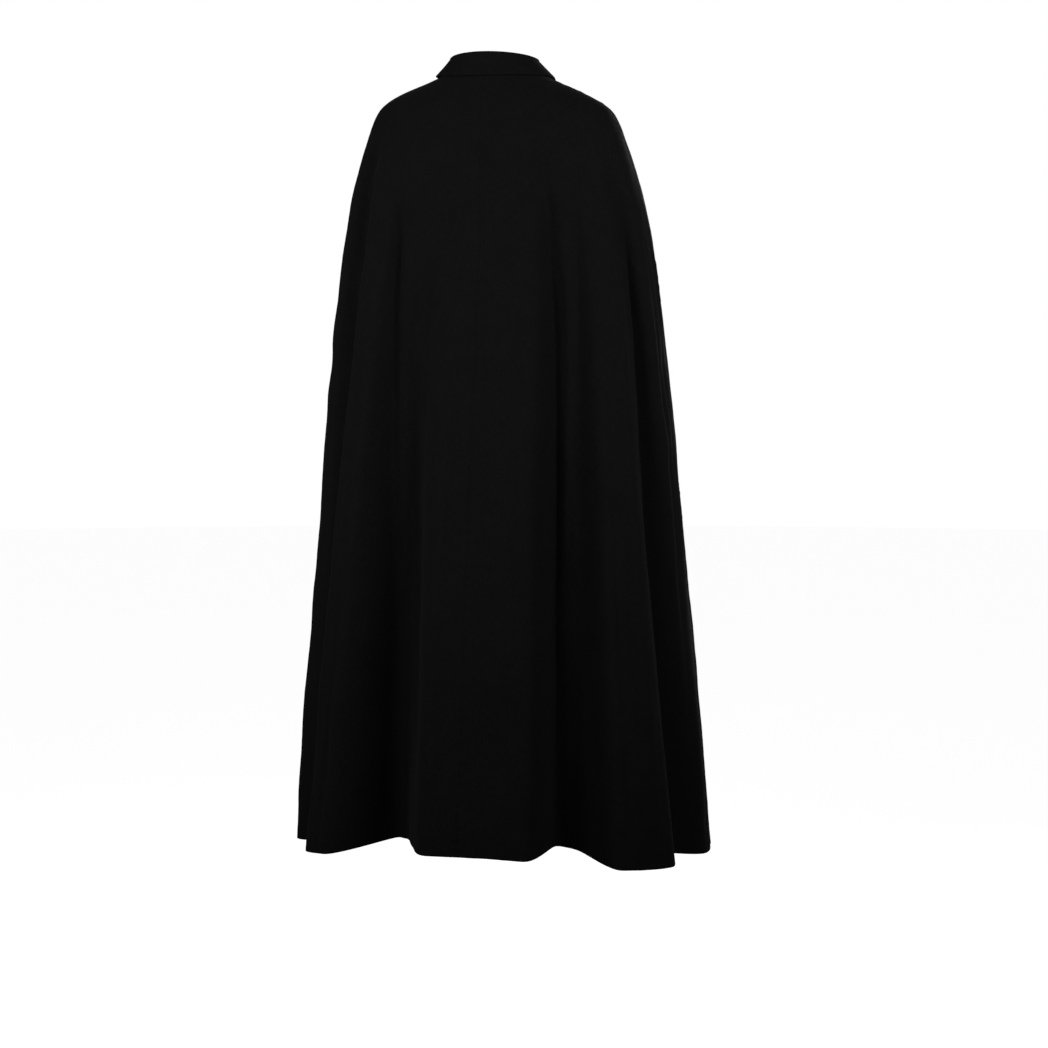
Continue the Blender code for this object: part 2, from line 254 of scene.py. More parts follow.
# ---------------------------------------------------------------- rows and columns of the shells
NECK_BAND, NECK_ROWS, BODY_ROWS, TURNING_ROWS = 0.012, 7, 262, 12
ABOVE_TURNING = 0.0016
HEM_ROWS = (0.0028, 0.00192, 0.00096, 0.00032, 0.0)
ABOVE_HEM_ROWS = 0.0038
MID_COLUMNS = 104
EDGE_STEPS = (0.0, 0.0003, 0.0007, 0.0012, 0.0019, 0.0028, 0.0045, 0.0075, 0.0112, 0.0147, 0.0157, 0.0195)

# The collar's rows lie at places along its section, and its columns at shares of its length
COLLAR_STAND_ROWS, COLLAR_ROLL_ROWS, COLLAR_FALL_ROWS = 9, 17, 22
COLLAR_FALL_ENDS = 0.08
COLLAR_EDGE_ROWS = (0.05, 0.025, 0.008, 0.0)
COLLAR_END_COLUMNS = (0.0, 0.0008, 0.002, 0.004)
COLLAR_MID_COLUMNS = (0.007, 0.993, 236)
# The collar's fall lies in slight waves, with the ridge of its turned edge
COLLAR_WAVE = 0.0005
COLLAR_WAVE_LENGTHS = (0.031, 0.074)
COLLAR_WAVE_PHASE = 0.8
COLLAR_WAVE_RISE = 1.2
COLLAR_WAVE_INSIDE = 0.6
EDGE_RIDGE, EDGE_RIDGE_IN, EDGE_RIDGE_WIDTH = 0.00025, 0.0055, 0.0012

SHELL_SHARP = math.radians(55.0)
SMALL_SHARP = math.radians(40.0)

# ---------------------------------------------------------------- the button, its thread and its buttonhole
# Radius and height along the button's half section, as shares of its own
BUTTON_PROFILE = (
    (0.0, 0.0), (0.90, 0.0), (0.97, 0.08), (1.0, 0.30), (1.0, 0.62), (0.97, 0.86), (0.91, 0.97),
    (0.84, 1.0), (0.76, 0.96), (0.70, 0.84), (0.64, 0.72), (0.52, 0.66), (0.0, 0.64),
)
BUTTON_SIDES = 72
BUTTON_DISH = 0.66
HOLE_RADIUS = 0.0010
HOLE_PLACE = 0.0021
HOLE_SIDES = 20
HOLE_CUT = (-0.002, 0.007)
CORNERS = ((1, 1), (1, -1), (-1, 1), (-1, -1))

# Each strand of thread rises from one hole, crowns and dips into the other
THREAD_RADIUS = 0.00026
THREAD_SIDES = 8
THREAD_STEPS = 12
THREAD_APART = 0.00042
THREAD_LIFT = 0.00042
THREAD_CROWN = 0.00022
THREAD_DIP = 0.0011
THREAD_DIP_FROM = 0.40
THREAD_DIP_OVER = 0.10

# The buttonhole's slit, and the purl stitches along each side of it, from the slit's edge outward
SLIT_START, SLIT_LENGTH, SLIT_HALF = 0.0035, 0.0270, 0.0011
PURLS = 58
PURL_ROOT = 0.35
PURL_REACH = 1.55
PURL_UNEVEN = 0.00012
PURL_WAVE = 2.3
PURL_DEPTH, PURL_KNOT, PURL_CROWN, PURL_TIP = 0.0006, 0.00046, 0.00006, 0.00012
PURL_CROWN_AT = 0.55
PURL_RADII = (0.00020, 0.00029, 0.00022, 0.00015)
# The bar at the slit's end: its strands, the way between them and each strand's points, across and out
BARS = 5
BAR_APART = 0.00036
BAR_POINTS = ((0.0019, -0.0002), (0.001, 0.00035), (-0.001, 0.00035), (-0.0019, -0.0002))
BAR_RADII = (0.00018, 0.00024, 0.00024, 0.00018)
STITCH_SIDES = 6

FLOOR_Z = -1.600
FLOOR_REACH = 14.0
DOME_REACH = 16.0

VIEW_TURN = math.radians(16.0)
VIEW_TOWARD = Vector((-math.sin(VIEW_TURN), math.cos(VIEW_TURN), 0.0))
VIEW_RIGHT = Vector((-math.cos(VIEW_TURN), -math.sin(VIEW_TURN), 0.0))
CAMERA_DISTANCE = 3.8
CAMERA_HEIGHT = -0.493
AIM_RIGHT = 0.048
AIM_HEIGHT = -0.7277
SENSOR_WIDTH = 36.0
FOCAL_SHARE = 2282.0 / 1048.0

AMBIENT = 0.012
LAMP_REACH = 1.5
LAMP_SIZE = (0.7, 0.9)
LAMP_AIM_DROP = 0.25
# name, azimuth, height and power: the first four light the side that the camera sees
LAMPS = (
    ("back_right", 146.0, 0.05, 6.6),
    ("back_left", 64.0, 0.05, 6.0),
    ("left", 21.0, -0.40, 2.1),
    ("right", 214.0, -0.40, 1.3),
    ("front_right", 250.0, 0.05, 6.6),
    ("front_left", 295.0, 0.05, 6.2),
)


def ease(share):
    """0 to 1 with level ends."""
    share = np.clip(share, 0.0, 1.0)
    return share * share * (3.0 - 2.0 * share)


def unit(vectors):
    """Vectors brought to length one."""
    return vectors / np.maximum(np.linalg.norm(vectors, axis=-1, keepdims=True), 1e-12)


def ring(column, drop):
    """A ring column at any drops, on a smooth curve through the table rows."""
    drops, values = RINGS[:, 0], RINGS[:, RING_COLUMNS.index(column)]
    low = np.maximum(np.arange(len(drops)) - 1, 0)
    high = np.minimum(np.arange(len(drops)) + 1, len(drops) - 1)
    slopes = (values[high] - values[low]) / (drops[high] - drops[low])
    at = np.clip(np.searchsorted(drops, drop, side="right") - 1, 0, len(drops) - 2)
    span = drops[at + 1] - drops[at]
    t = (drop - drops[at]) / span
    return ((2 * t ** 3 - 3 * t ** 2 + 1) * values[at] + (t ** 3 - 2 * t ** 2 + t) * slopes[at] * span
            + (3 * t ** 2 - 2 * t ** 3) * values[at + 1] + (t ** 3 - t ** 2) * slopes[at + 1] * span)


def oval(azimuth, drop):
    """Points of the shape without folds."""
    across, along = np.cos(np.radians(azimuth)), np.sin(np.radians(azimuth))
    back = along > 0
    power = 2.0 / ring("square", drop)
    depth = np.where(back, ring("back", drop), ring("front", drop))
    z_end = np.where(back, ring("z_back", drop), ring("z_front", drop))
    x = ring("half", drop) * np.sign(across) * np.abs(across) ** power
    y = depth * np.sign(along) * np.abs(along) ** power
    z = ring("z_side", drop) * across ** 2 + z_end * along ** 2 + ring("tilt", drop) * x
    z = z - HEM_DIP * (drop / HEM_DROP) ** 2 * (2 * across * along) ** 2
    return np.stack([x + SWAY * drop, y, z], -1)


def outward(azimuth, drop):
    """The level direction straight out of the oval."""
    step = 0.5
    along = oval(azimuth + step, drop) - oval(azimuth - step, drop)
    return unit(np.stack([along[..., 1], -along[..., 0], np.zeros_like(along[..., 0])], -1))


def bell(offset):
    """1 at the middle, 0 from one half width out, smooth between."""
    return np.where(np.abs(offset) < 1.0, (1.0 + np.cos(np.pi * np.clip(offset, -1.0, 1.0))) / 2.0, 0.0)


def turn_from(azimuth, centre):
    """How far an azimuth lies from a centre, from -180 to 180 degrees."""
    return (azimuth - centre + 180.0) % 360.0 - 180.0


def fold_move(azimuth, drop):
    """How far the folds draw the cloth in, and how far they push it round."""
    inward = np.zeros(np.broadcast(azimuth, drop).shape)
    around = np.zeros_like(inward)
    for row in FOLDS:
        fold = dict(zip(FOLD_COLUMNS, row))
        run = np.maximum(drop - fold["start"], 0.0) / (HEM_DROP - fold["start"])
        centre = fold["top"] + (fold["hem"] - fold["top"]) * run
        depth = fold["depth"] * run ** fold["growth"] * bell(turn_from(azimuth, centre) / fold["half"])
        inward += depth
        around += depth * fold["lean"]
    return inward, around


def unevenness(point):
    """Slow swelling of the cloth, from waves with set seeds: no two places are alike."""
    total = np.zeros(point.shape[:-1])
    for size, height, seed in UNEVEN:
        random = np.random.RandomState(seed)
        share = height * math.sqrt(2.0 / UNEVEN_WAVES)
        for _ in range(UNEVEN_WAVES):
            way = unit(random.normal(size=3) * np.array(UNEVEN_WAYS))
            phase = random.uniform(0.0, 2.0 * math.pi)
            length = size * random.uniform(*UNEVEN_SPREAD)
            total += share * np.sin(2.0 * math.pi * (point @ way) / length + phase)
    return total


def crease_move(azimuth, drop):
    """How far the listed creases and dents press the cloth in."""
    inward = np.zeros(np.broadcast(azimuth, drop).shape)
    for number, row in enumerate(CREASES):
        crease = dict(zip(CREASE_COLUMNS, row))
        share = drop / HEM_DROP
        centre = crease["azimuth"] + (crease["hem"] - crease["azimuth"]) * share
        wander = np.sin(2.0 * math.pi * (SWAY_WAVES * share + SWAY_PHASE * number))
        centre = centre + crease["sway"] * wander
        fade = ease((drop - crease["start"]) / crease["rise"]) * ease((crease["end"] - drop) / crease["rise"])
        swing = np.sin(WIDTH_WAVE * share + WIDTH_PHASE * number)
        width = crease["half"] * (WIDTH_MEAN + WIDTH_SWING * swing)
        inward += crease["depth"] * fade * bell(turn_from(azimuth, centre) / width)
    for row in DENTS:
        dent = dict(zip(DENT_COLUMNS, row))
        round_way = np.radians(turn_from(azimuth, dent["azimuth"])) * ring("half", drop) * DENT_ROUNDNESS
        down_way = drop - dent["drop"]
        turn = math.radians(dent["turn"])
        long_way = (down_way * math.cos(turn) + round_way * math.sin(turn)) / dent["length"]
        short_way = (round_way * math.cos(turn) - down_way * math.sin(turn)) / dent["width"]
        inward += dent["depth"] * np.exp(-DENT_FALL * (long_way ** 2 + short_way ** 2))
    return inward


def cloth(azimuth, drop):
    """Points of the cloth's inner face, with its folds, creases and swelling."""
    azimuth, drop = np.broadcast_arrays(azimuth, drop)
    inward, around = fold_move(azimuth, drop)
    out = outward(azimuth, drop)
    side = np.stack([-out[..., 1], out[..., 0], out[..., 2]], -1)
    rise = np.array([0.0, 0.0, FOLD_RISE]) * inward[..., None]
    point = oval(azimuth, drop) - out * inward[..., None] + side * around[..., None] + rise
    rest = ease((drop - CALM_NECK) / CALM_RISE)
    return point - out * ((crease_move(azimuth, drop) + unevenness(point)) * rest)[..., None]


def cloth_frame(azimuth, drop):
    """Points, directions up the cloth to the neck, and the cloth's outward normals."""
    turn, step = 0.4, 0.002
    point = cloth(azimuth, drop)
    up = unit(cloth(azimuth, np.maximum(drop - step, 0.0)) - cloth(azimuth, drop + step))
    along = unit(cloth(azimuth + turn, drop) - cloth(azimuth - turn, drop))
    return point, up, unit(np.cross(along, up))


def azimuth_at(x, drop, centre):
    """The azimuths near the centre back or centre front where the oval passes x."""
    turn = np.degrees(np.arcsin((np.abs(x) / ring("half", drop)) ** (ring("square", drop) / 2.0)))
    return centre - np.sign(x) * turn * (1 if centre == BACK else -1)


def azimuth_side(y, drop, centre):
    """The azimuths near a side where the oval passes y."""
    depth = np.where(np.asarray(y) > 0, ring("back", drop), ring("front", drop))
    turn = np.degrees(np.arcsin((np.abs(y) / depth) ** (ring("square", drop) / 2.0)))
    return centre + np.sign(y) * turn * (1 if centre == LEFT else -1)


def lap_rise(x):
    """How far the upper layer rises at the centre front."""
    (foot, top), (end, flat) = LAP_RISES, LAP_SETTLES
    return (WALL + LAP_CLEAR) * ease((x - foot) / (top - foot)) * ease((flat - x) / (flat - end))


# ---------------------------------------------------------------- materials
def node(tree, kind, inputs=None, **settings):
    """A shader node with its inputs and settings."""
    made = tree.nodes.new(kind)
    for name, value in settings.items():
        setattr(made, name, value)
    for name, value in (inputs or {}).items():
        made.inputs[name].default_value = value
    return made


def noise(tree, place, scale, detail, roughness):
    """A noise value over a place."""
    made = node(tree, "ShaderNodeTexNoise", {"Scale": scale, "Detail": detail, "Roughness": roughness})
    tree.links.new(place, made.inputs["Vector"])
    return made.outputs["Fac"]


def ramp(tree, value, stops):
    """A colour ramp over a value. stops are two of (position, grey or colour)."""
    made = node(tree, "ShaderNodeValToRGB")
    tree.links.new(value, made.inputs["Fac"])
    for element, (position, colour) in zip(made.color_ramp.elements, stops):
        element.position = position
        element.color = (*colour, 1.0) if isinstance(colour, tuple) else (colour, colour, colour, 1.0)
    return made.outputs["Color"]


def math_node(tree, operation, first, second):
    """A sum or product of two values, each a socket or a number."""
    made = node(tree, "ShaderNodeMath", operation=operation)
    for socket, value in zip(made.inputs, (first, second)):
        if isinstance(value, (int, float)):
            socket.default_value = value
        else:
            tree.links.new(value, socket)
    return made.outputs[0]


def weighted(tree, *terms):
    """The sum of values, each with its weight."""
    total, *others = [math_node(tree, "MULTIPLY", value, weight) for value, weight in terms]
    for other in others:
        total = math_node(tree, "ADD", total, other)
    return total


def roughen(tree, shader, height, strength, distance):
    """Bump from a height, on a shader."""
    bump = node(tree, "ShaderNodeBump", {"Strength": strength, "Distance": distance})
    tree.links.new(height, bump.inputs["Height"])
    tree.links.new(bump.outputs["Normal"], shader.inputs["Normal"])


def start_material(name):
    """An empty Principled material and its parts."""
    made = bpy.data.materials.new(name)
    made.use_nodes = True
    return made, made.node_tree, made.node_tree.nodes["Principled BSDF"]


def wool_material(name, dark, light):
    """Milled wool cloth: a felted surface of fine fibres that lie down the cloth, with a faint bloom."""
    made, tree, shader = start_material(name)
    place = node(tree, "ShaderNodeTexCoord").outputs["Object"]
    nap = node(tree, "ShaderNodeMapping", {"Scale": (1.0, 1.0, 0.34)})
    tree.links.new(place, nap.inputs["Vector"])
    nap = nap.outputs["Vector"]
    fibres = noise(tree, nap, 1500.0, 4.0, 0.62)
    felt = noise(tree, nap, 330.0, 3.0, 0.55)
    clouds = noise(tree, place, 26.0, 3.0, 0.55)
    tone = weighted(tree, (fibres, 0.55), (felt, 0.35), (clouds, 0.10))
    tree.links.new(ramp(tree, tone, ((0.34, dark), (0.66, light))), shader.inputs["Base Color"])
    tree.links.new(ramp(tree, felt, ((0.3, 0.84), (0.7, 0.97))), shader.inputs["Roughness"])
    roughen(tree, shader, weighted(tree, (fibres, 0.55), (felt, 0.9)), 0.55, 0.0006)
    shader.inputs["Specular IOR Level"].default_value = 0.10
    shader.inputs["Sheen Weight"].default_value = 0.05
    shader.inputs["Sheen Roughness"].default_value = 0.42
    shader.inputs["Sheen Tint"].default_value = (0.96, 0.97, 1.0, 1.0)
    return made


def button_material():
    """Black horn: satin, with faint drawn-out clouding and fine turning marks."""
    made, tree, shader = start_material("black_horn")
    place = node(tree, "ShaderNodeTexCoord").outputs["Object"]
    drawn = node(tree, "ShaderNodeMapping", {"Scale": (1.0, 0.4, 2.2), "Rotation": (0.0, 0.5, 0.0)})
    tree.links.new(place, drawn.inputs["Vector"])
    clouds = noise(tree, drawn.outputs["Vector"], 190.0, 5.0, 0.6)
    marks = noise(tree, place, 2600.0, 2.0, 0.5)
    tree.links.new(ramp(tree, clouds, ((0.35, (0.0040, 0.0040, 0.0042)), (0.75, (0.0150, 0.0135, 0.0120)))),
                   shader.inputs["Base Color"])
    tree.links.new(ramp(tree, clouds, ((0.3, 0.30), (0.8, 0.46))), shader.inputs["Roughness"])
    roughen(tree, shader, marks, 0.12, 0.0002)
    shader.inputs["Specular IOR Level"].default_value = 0.4
    return made


def thread_material():
    """Black twisted sewing thread."""
    made, tree, shader = start_material("black_thread")
    place = node(tree, "ShaderNodeTexCoord").outputs["Object"]
    twist = node(tree, "ShaderNodeTexWave", {"Scale": 900.0, "Distortion": 1.5, "Detail": 1.0},
                 wave_type="BANDS", bands_direction="DIAGONAL")
    tree.links.new(place, twist.inputs["Vector"])
    tone = ramp(tree, twist.outputs["Fac"], ((0.2, 0.0040), (0.9, 0.0110)))
    tree.links.new(tone, shader.inputs["Base Color"])
    roughen(tree, shader, twist.outputs["Fac"], 0.5, 0.0002)
    shader.inputs["Roughness"].default_value = 0.62
    shader.inputs["Specular IOR Level"].default_value = 0.2
    return made


# ---------------------------------------------------------------- meshes
def shell(name, outer, inner, material):
    """A closed shell between two grids of points with the same rows and columns."""
    rows, columns = outer.shape[:2]
    count = rows * columns
    points = np.concatenate([outer.reshape(-1, 3), inner.reshape(-1, 3)])
    numbers = np.arange(count).reshape(rows, columns)
    a, b, c, d = numbers[:-1, :-1], numbers[1:, :-1], numbers[1:, 1:], numbers[:-1, 1:]
    faces = [np.stack([a, b, c, d], -1).reshape(-1, 4), np.stack([d, c, b, a], -1).reshape(-1, 4) + count]
    rim = np.concatenate([numbers[0, :-1], numbers[:-1, -1], numbers[-1, :0:-1], numbers[:0:-1, 0]])
    after = np.roll(rim, -1)
    faces.append(np.stack([rim, after, after + count, rim + count], -1))
    faces = np.concatenate(faces)
    mesh = bpy.data.meshes.new(name)
    mesh.vertices.add(len(points))
    mesh.vertices.foreach_set("co", points.astype(np.float32).ravel())
    mesh.loops.add(faces.size)
    mesh.loops.foreach_set("vertex_index", faces.astype(np.int32).ravel())
    mesh.polygons.add(len(faces))
    mesh.polygons.foreach_set("loop_start", np.arange(0, faces.size, 4, dtype=np.int32))
    mesh.update(calc_edges=True)
    mesh.validate()
    mesh.shade_smooth()
    mesh.set_sharp_from_angle(angle=SHELL_SHARP)
    mesh.materials.append(material)
    piece = bpy.data.objects.new(name, mesh)
    bpy.context.scene.collection.objects.link(piece)
    return piece


def dress(piece, replaced):
    """The piece, riding on the cloak, in place of a CAD node if one is named."""
    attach(piece, "root")
    if replaced:
        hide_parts(replaced)
    return piece


def way_along(points, axis):
    """How far each point lies along its row or column of a grid, in metres."""
    step = np.linalg.norm(np.diff(points, axis=axis), axis=-1)
    way = np.cumsum(step, axis=axis)
    start = np.zeros_like(np.take(way, [0], axis=axis))
    return np.concatenate([start, way], axis=axis)


def grid_normals(points):
    """Normals of a grid whose rows go down and whose columns go round, outward."""
    down = np.gradient(points, axis=0)
    across = np.gradient(points, axis=1)
    return unit(np.cross(down, across))


def rounded(way, radius):
    """The share of its thickness that cloth keeps near a folded edge."""
    share = np.clip(way / radius, 0.0, 1.0)
    return np.maximum(np.sqrt(1.0 - (1.0 - share) ** 2), EDGE_LEAST)


def drop_rows():
    """The drops of the rows, closer together at the neck, the hem's turning and the hem's edge."""
    return np.unique(np.concatenate([
        np.linspace(0.0, NECK_BAND, NECK_ROWS),
        np.linspace(NECK_BAND, HEM_DROP - HEM_TURNING - ABOVE_TURNING, BODY_ROWS),
        np.linspace(HEM_DROP - HEM_TURNING, HEM_DROP - ABOVE_HEM_ROWS, TURNING_ROWS),
        HEM_DROP - np.array(HEM_ROWS)]))


def panel(name, start, end, sewn_start, sewn_end, over, material):
    """One panel between two edges. start and end give the azimuth of an edge, moved a way into the panel.

    A sewn edge has a groove, a pucker and a turning inside, and any other edge is rounded. over is for the
    panel that is the upper layer where the fronts lap.
    """
    drops = drop_rows()[:, None]
    steps = np.array(EDGE_STEPS)[None, :]
    first, last = start(steps, drops), end(steps, drops)[:, ::-1]
    share = np.linspace(0.0, 1.0, MID_COLUMNS + 1)[None, 1:-1]
    middle = first[:, -1:] + (last[:, :1] - first[:, -1:]) * share
    azimuths = np.concatenate([first, middle, last], 1)
    base = cloth(azimuths, drops)
    normal = grid_normals(base)
    if over:
        base = base + normal * lap_rise(base[..., 0])[..., None]
        normal = grid_normals(base)
    from_start = way_along(base, 1)
    from_end = from_start[:, -1:] - from_start
    from_hem = way_along(base, 0)
    from_hem = from_hem[-1:, :] - from_hem
    from_neck = way_along(base, 0)
    outer, inner = np.full(from_hem.shape, WALL), np.zeros(from_hem.shape)
    body = np.ones_like(outer)
    extra = HEM_EXTRA * (1.0 - ease((from_hem - HEM_TURNING) / HEM_STEP))
    if over:
        extra = extra * ease((from_end - 2 * LAP_HALF - TURNING_CLEAR) / TURNING_RISE)
    waves = sum(share * np.sin(drops * 2.0 * math.pi / length + phase)
                for length, share, phase in PUCKER_WAVES)
    for way, sewn in ((from_start, sewn_start), (from_end, sewn_end)):
        if sewn:
            groove = SEAM_GROOVE * np.exp(-(way / SEAM_GROOVE_WIDTH) ** 2)
            pucker = PUCKER * np.exp(-(way / PUCKER_REACH) ** 2) * waves
            outer = outer - groove + pucker
            extra = np.maximum(extra, SEAM_EXTRA * (1.0 - ease((way - SEAM_ALLOWANCE) / SEAM_STEP)))
        else:
            body = np.minimum(body, rounded(way, WALL / 2))
    inner = inner - extra * ease((from_neck - TURNING_CLEAR) / TURNING_RISE)
    body = np.minimum(body, rounded(from_hem, (WALL + HEM_EXTRA) / 2))
    middle_height = (outer + inner) / 2
    outer = middle_height + (outer - middle_height) * body
    inner = middle_height + (inner - middle_height) * body
    return shell(name, base + normal * outer[..., None], base + normal * inner[..., None], material)


def collar_value(column, azimuth):
    """A collar column at any azimuths, eased between the four table rows."""
    values = COLLAR[:, COLLAR_COLUMNS.index(column)]
    place = (azimuth % 360.0) / 90.0
    low = place.astype(int) % len(COLLAR)
    return values[low] + (values[(low + 1) % len(COLLAR)] - values[low]) * ease(place - np.floor(place))


def fall_cover(azimuth, drop):
    """Where the collar's visible face lies flat on the panels, and their outward normals there."""
    point, _, normal = cloth_frame(azimuth, drop)
    lift = np.where(point[..., 1] < 0, lap_rise(point[..., 0]), 0.0)
    return point + normal * (2 * WALL + LAP_CLEAR + lift)[..., None], normal


def collar_section(azimuth):
    """The collar's visible face at some azimuths, as points from the neck seam up, over the roll and down."""
    zero = np.zeros_like(azimuth)
    point, up, normal = cloth_frame(azimuth, zero)
    out = outward(azimuth, zero)
    rise = np.array([0.0, 0.0, 1.0])
    lift = np.where(azimuth > RIGHT, lap_rise(point[:, 0]), 0.0)
    seam = point + normal * lift[:, None] + up * SEAM_GAP
    inset, stand = collar_value("inset", azimuth)[:, None], collar_value("stand", azimuth)[:, None]
    top = point - out * inset + rise * stand
    root = seam + up * STAND_ROOT
    length = np.linalg.norm(top - root, axis=-1, keepdims=True)
    points = [seam]
    for step in range(STAND_STEPS):
        share = step / STAND_STEPS
        straight = root + (top - root) * share
        points.append(root + up * length * share + (straight - root - up * length * share) * ease(share))
    centre = top + out * COLLAR_ROLL
    for step in range(ROLL_STEPS + 1):
        turn = math.pi * step / ROLL_STEPS
        points.append(centre - out * COLLAR_ROLL * math.cos(turn) + rise * COLLAR_ROLL * math.sin(turn))
    fall = collar_value("fall", azimuth)
    fallen, _ = fall_cover(azimuth, fall)
    rolled = points[-1]
    for step in range(1, FALL_STEPS + 1):
        share = step / FALL_STEPS
        straight = rolled + (fallen - rolled) * share
        laid, laid_normal = fall_cover(azimuth, fall * share)
        gap = np.maximum(((laid - straight) * laid_normal).sum(-1), 0.0)
        points.append(straight + laid_normal * gap[:, None])
    return np.array(points)


def along_points(points, place):
    """A point on a smooth curve through points[0], points[1] and so on, at any place."""
    low = min(int(place), len(points) - 2)
    t = place - low
    before, start, end, after = (points[min(max(low + k, 0), len(points) - 1)] for k in (-1, 0, 1, 2))
    return 0.5 * (2 * start + (end - before) * t + (2 * before - 5 * start + 4 * end - after) * t ** 2
                  + (3 * start - before - 3 * end + after) * t ** 3)


def collar(material):
    """The turned-down collar, open at the centre front, of two layers with a turned edge."""
    rolled = 1 + STAND_STEPS
    over = rolled + ROLL_STEPS
    last = over + FALL_STEPS
    places = np.concatenate([
        np.linspace(0.0, rolled, COLLAR_STAND_ROWS)[:-1],
        np.linspace(rolled, over, COLLAR_ROLL_ROWS)[:-1],
        np.linspace(over, last - COLLAR_FALL_ENDS, COLLAR_FALL_ROWS),
        last - np.array(COLLAR_EDGE_ROWS)])
    ends = np.array(COLLAR_END_COLUMNS)
    shares = np.concatenate([ends, np.linspace(*COLLAR_MID_COLUMNS), 1.0 - ends[::-1]])
    grid = []
    for place in places:
        fallen = float(ease((place - rolled) / (last - rolled)))
        end = COLLAR_END_STAND + (COLLAR_END_POINT - COLLAR_END_STAND) * fallen
        azimuth = -90.0 + end + (360.0 - 2 * end) * shares
        grid.append(along_points(collar_section(azimuth), place))
    face = np.array(grid)
    normal = -grid_normals(face)
    from_edge = way_along(face, 0)
    from_edge = from_edge[-1:, :] - from_edge
    from_left = way_along(face, 1)
    from_right = from_left[:, -1:] - from_left
    fallen = ease((places[:, None] - over) / COLLAR_WAVE_RISE)
    short, long = COLLAR_WAVE_LENGTHS
    ripple = np.sin(from_left / short + COLLAR_WAVE_PHASE) * np.cos(from_left / long)
    wave = COLLAR_WAVE * fallen * (1 + ripple)
    edge_ridge = EDGE_RIDGE * np.exp(-((from_edge - EDGE_RIDGE_IN) / EDGE_RIDGE_WIDTH) ** 2) * fallen
    body = rounded(np.minimum(from_edge, np.minimum(from_left, from_right)), WALL / 2)
    outer = wave - edge_ridge - WALL / 2 * (1 - body)
    inner = wave * COLLAR_WAVE_INSIDE - WALL + WALL / 2 * (1 - body)
    return shell("collar_cloth", face + normal * inner[..., None], face + normal * outer[..., None], material)


def joined(name, mesh, material):
    """A bmesh as a smooth piece."""
    data = bpy.data.meshes.new(name)
    mesh.to_mesh(data)
    mesh.free()
    data.shade_smooth()
    data.set_sharp_from_angle(angle=SMALL_SHARP)
    data.materials.append(material)
    piece = bpy.data.objects.new(name, data)
    bpy.context.scene.collection.objects.link(piece)
    return piece


def circle(mesh, centre, across, up, radius, sides):
    """The points of a circle round a centre, in the plane of two directions."""
    turns = [2 * math.pi * j / sides for j in range(sides)]
    ways = [across * math.cos(turn) + up * math.sin(turn) for turn in turns]
    return [mesh.verts.new(centre + way * radius) for way in ways]


def tube(mesh, path, radii, sides):
    """A closed round tube along a path of points, with flat ends."""
    hint = Vector((0.13, 0.31, 0.94))
    rings = []
    for k, point in enumerate(path):
        along = (path[min(k + 1, len(path) - 1)] - path[max(k - 1, 0)]).normalized()
        side = along.cross(hint).normalized()
        rings.append(circle(mesh, point, side, side.cross(along), radii[k], sides))
    for one, two in zip(rings, rings[1:]):
        for j in range(sides):
            mesh.faces.new((one[j], one[(j + 1) % sides], two[(j + 1) % sides], two[j]))
    mesh.faces.new(rings[0][::-1])
    mesh.faces.new(rings[-1])


def button_frame():
    """The middle of the button's underside, the way across, the way up and the way out of the cloth."""
    point, up, normal = (value[0] for value in cloth_frame(np.array([FRONT]), np.array([BUTTON_DROP])))
    base = point + normal * (float(lap_rise(np.array(0.0))) + WALL + SEAM_GAP)
    across = np.cross(up, normal)
    return Vector(base), Vector(across), Vector(up), Vector(normal)


def button(material):
    """The button: a turned rim round a dished middle with four sewing holes."""
    base, across, up, out = button_frame()
    mesh = bmesh.new()
    rings = []
    for radius, height in BUTTON_PROFILE:
        centre = base + out * height * BUTTON_THICK
        rings.append(circle(mesh, centre, across, up, radius * BUTTON_RADIUS, BUTTON_SIDES if radius else 1))
    for one, two in zip(rings, rings[1:]):
        for j in range(BUTTON_SIDES):
            k = (j + 1) % BUTTON_SIDES
            corners = [one[j % len(one)], one[k % len(one)], two[k % len(two)], two[j % len(two)]]
            mesh.faces.new(list(dict.fromkeys(corners)))
    bmesh.ops.recalc_face_normals(mesh, faces=mesh.faces)
    piece = joined("button_disc", mesh, material)
    cutter = bmesh.new()
    for right, high in CORNERS:
        centre = base + across * right * HOLE_PLACE + up * high * HOLE_PLACE
        tube(cutter, [centre + out * way for way in HOLE_CUT], (HOLE_RADIUS, HOLE_RADIUS), HOLE_SIDES)
    bmesh.ops.recalc_face_normals(cutter, faces=cutter.faces)
    holes = joined("button_holes", cutter, material)
    cut = piece.modifiers.new("holes", "BOOLEAN")
    cut.operation = "DIFFERENCE"
    cut.solver = "EXACT"
    cut.object = holes
    bpy.context.view_layer.update()
    done = bpy.data.meshes.new_from_object(piece.evaluated_get(bpy.context.evaluated_depsgraph_get()))
    piece.modifiers.clear()
    piece.data = done
    done.set_sharp_from_angle(angle=SMALL_SHARP)
    bpy.data.objects.remove(holes, do_unlink=True)
    return piece


